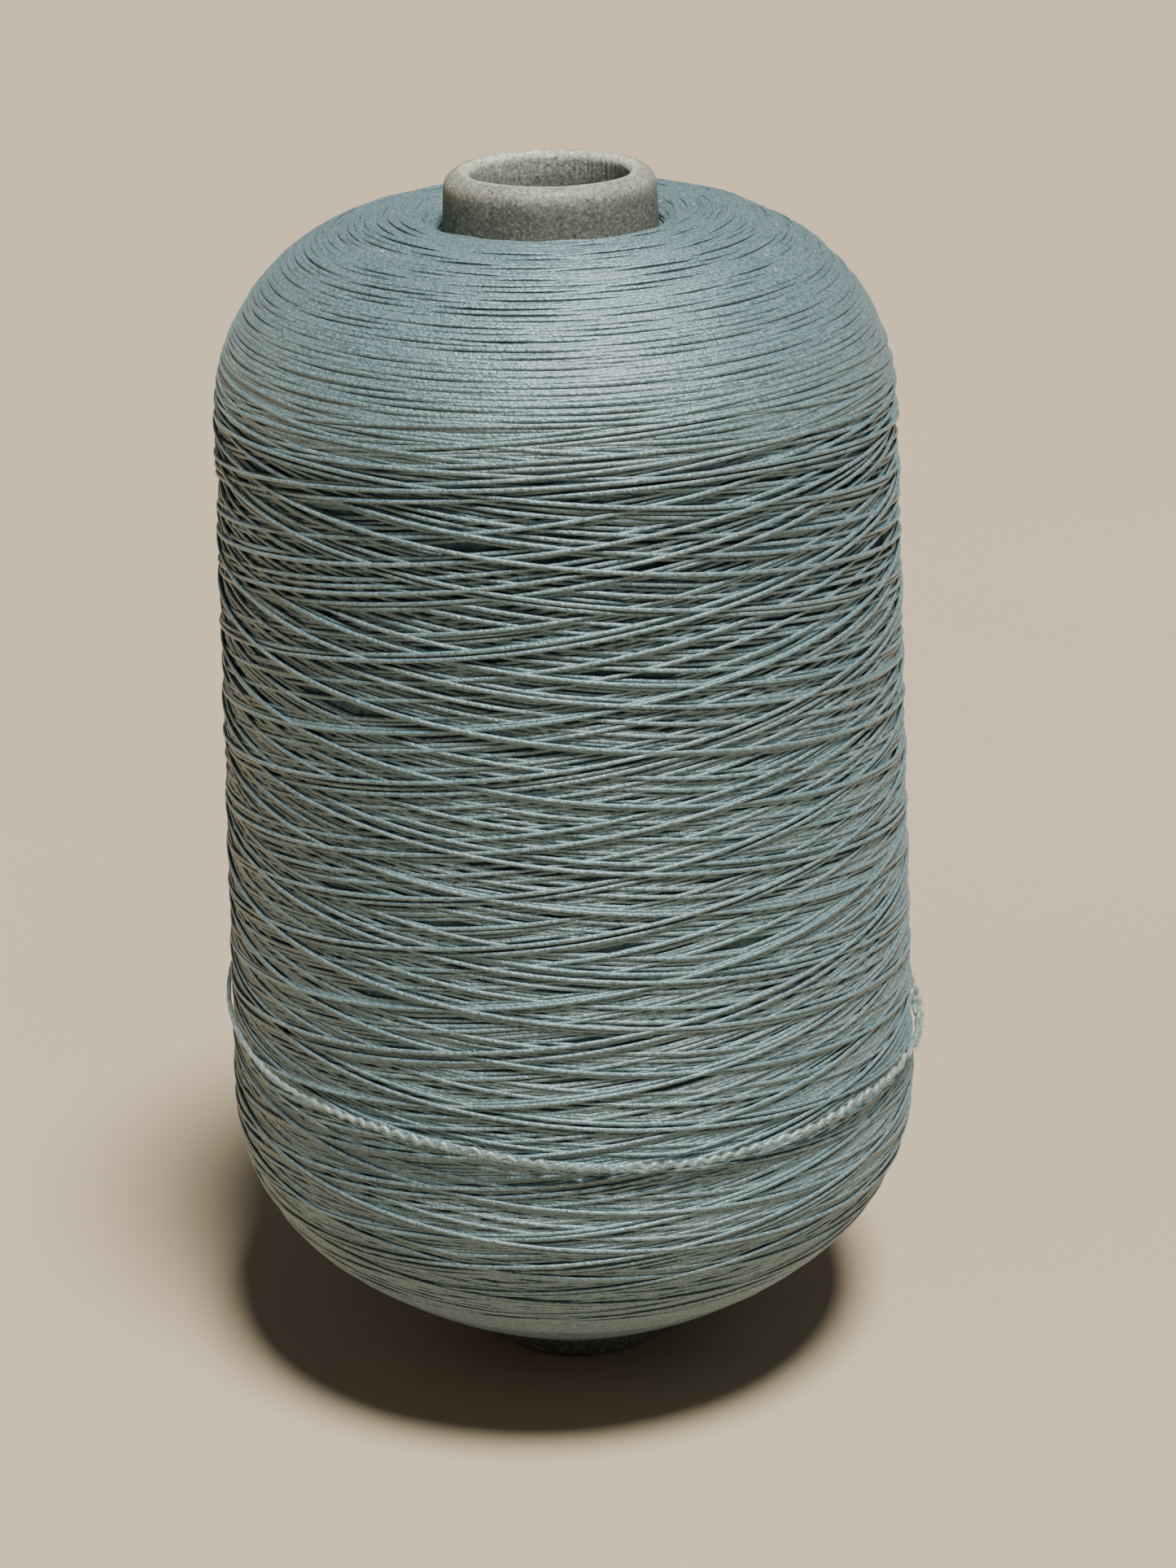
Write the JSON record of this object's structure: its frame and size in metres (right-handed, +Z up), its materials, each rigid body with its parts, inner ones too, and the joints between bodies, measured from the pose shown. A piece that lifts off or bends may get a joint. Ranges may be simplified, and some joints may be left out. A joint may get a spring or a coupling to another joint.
{
  "type": "spool of thread",
  "caption": "Industrial spool of textured sewing thread: a dome-topped cross-wound package on a cardboard tube with a rolled-in nose, its loose end lying round it.",
  "frame": {"origin": "centre of the tube's foot, on the surface that the spool stands on", "axes": "+Z up along the tube's axis towards the rolled nose; -Y towards the side that the loose end crosses at its lowest"},
  "size_m": [0.1017, 0.1023, 0.175],
  "materials": {
    "cardboard": "calendered recycled board, burnished on the nose",
    "thread": "matt textured filament under tension",
    "loose_thread": "matt, relaxed and crimped"
  },
  "bodies": {
    "root": {"paper_tube": "cardboard", "thread_winding": "thread", "thread_tail": "loose_thread"}
  },
  "joints": []
}
